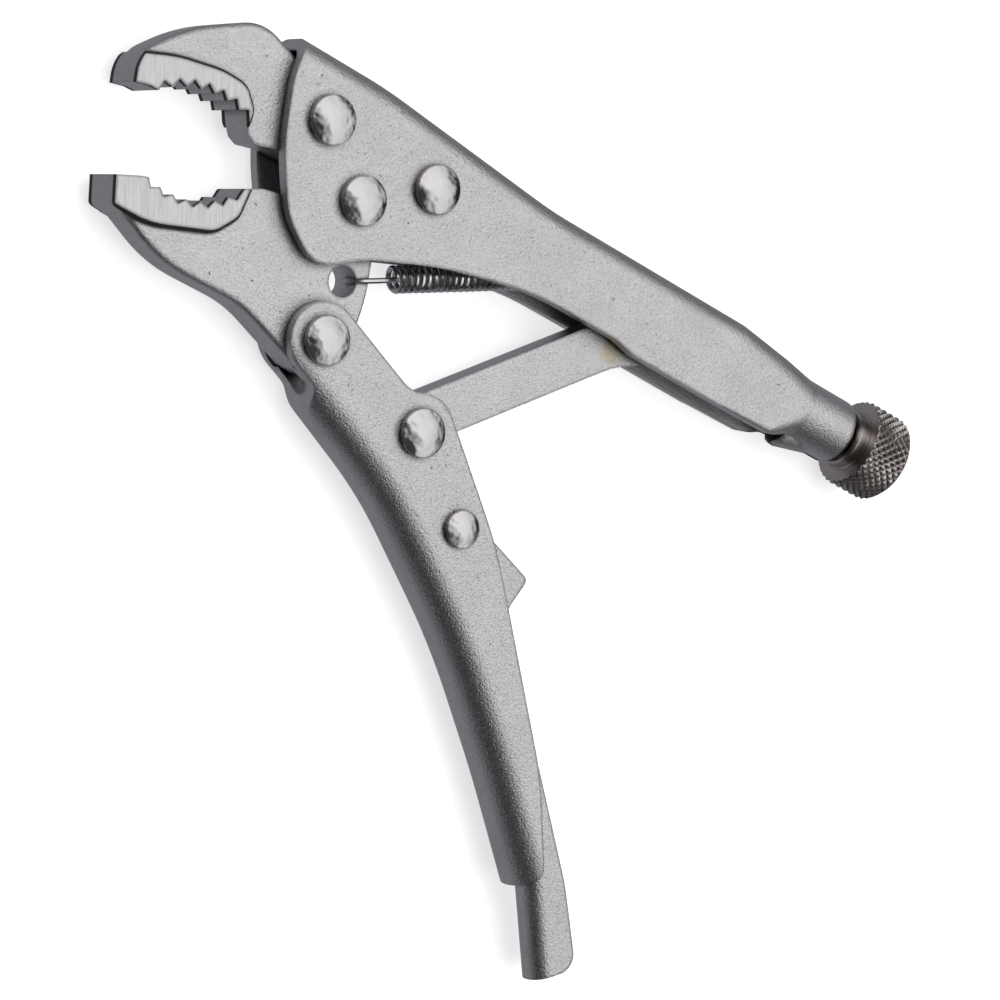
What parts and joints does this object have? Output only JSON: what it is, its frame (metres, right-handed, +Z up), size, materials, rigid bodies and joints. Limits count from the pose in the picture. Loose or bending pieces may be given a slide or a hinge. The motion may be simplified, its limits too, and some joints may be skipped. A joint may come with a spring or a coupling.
{
  "type": "locking pliers",
  "caption": "Curved-jaw locking pliers: riveted sheet-steel handles, toggle link, release lever, jaw spring and knurled adjusting screw.",
  "frame": {"origin": "middle of the footprint, on the surface that the pliers lie on", "axes": "+X along the adjusting screw towards its knob, +Y towards the back of the fixed handle, +Z up, the side that shows the spring's front hook"},
  "size_m": [0.1302, 0.0956, 0.0126],
  "materials": {
    "plated_sheet": "satin nickel plating, fine pits",
    "plated_jaw": "satin nickel plating, ground at the teeth",
    "rivet_steel": "bright, slightly hammered",
    "dark_steel": "dark oiled",
    "spring_steel": "bright drawn wire"
  },
  "bodies": {
    "fixed": {"fixed_handle": "plated_sheet", "upper_jaw": "plated_jaw", "upper_jaw_front_rivet": "rivet_steel", "upper_jaw_rear_rivet": "rivet_steel", "jaw_pivot_rivet": "rivet_steel", "jaw_spring": "spring_steel"},
    "moving_jaw": {"lower_jaw": "plated_jaw"},
    "handle": {"movable_handle": "plated_sheet", "handle_pivot_rivet": "rivet_steel", "link_pivot_rivet": "rivet_steel", "release_lever_rivet": "rivet_steel"},
    "link": {"toggle_link": "plated_sheet"},
    "lever": {"release_lever": "plated_sheet"},
    "screw": {"adjusting_screw": "dark_steel"},
    "knob": {"adjusting_knob": "dark_steel"}
  },
  "joints": [
    {"name": "handle_turn", "type": "hinge", "parent": "moving_jaw", "child": "handle", "pos_m": [-0.0266, 0.0141, 0.0063], "axis": [0, 0, 1], "range_deg": [0, 55.31]},
    {"name": "jaw_turn", "type": "hinge", "parent": "fixed", "child": "moving_jaw", "pos_m": [-0.0296, 0.0323, 0.0063], "axis": [0, 0, 1], "range_deg": [-19.01, 0], "stiffness_Nm_per_rad": 0.05, "springref_deg": 28.65, "deforming": ["jaw_spring"]},
    {"name": "link_turn", "type": "hinge", "parent": "handle", "child": "link", "pos_m": [-0.0084, 0.0095, 0.0063], "axis": [0, 0, 1], "range_deg": [-53.19, 0]},
    {"name": "lever_turn", "type": "hinge", "parent": "handle", "child": "lever", "pos_m": [0.0027, 0.0008, 0.0063], "axis": [0, 0, 1], "range_deg": [0, 15]},
    {"name": "screw_travel", "type": "slide", "parent": "fixed", "child": "screw", "axis": [1, 0, 0], "range_m": [0, 0.01201]},
    {"name": "knob_turn", "type": "hinge", "parent": "screw", "child": "knob", "pos_m": [0.0614, 0.0386, 0.0063], "axis": [1, 0, 0], "range_deg": [0, 3401]}
  ],
  "couplings": [
    {"joint": "jaw_turn", "follows": "handle_turn", "ratio": -0.34354},
    {"joint": "link_turn", "follows": "handle_turn", "ratio": -0.96151},
    {"joint": "screw_travel", "follows": "knob_turn", "m_per_rad": 0.00020213}
  ]
}
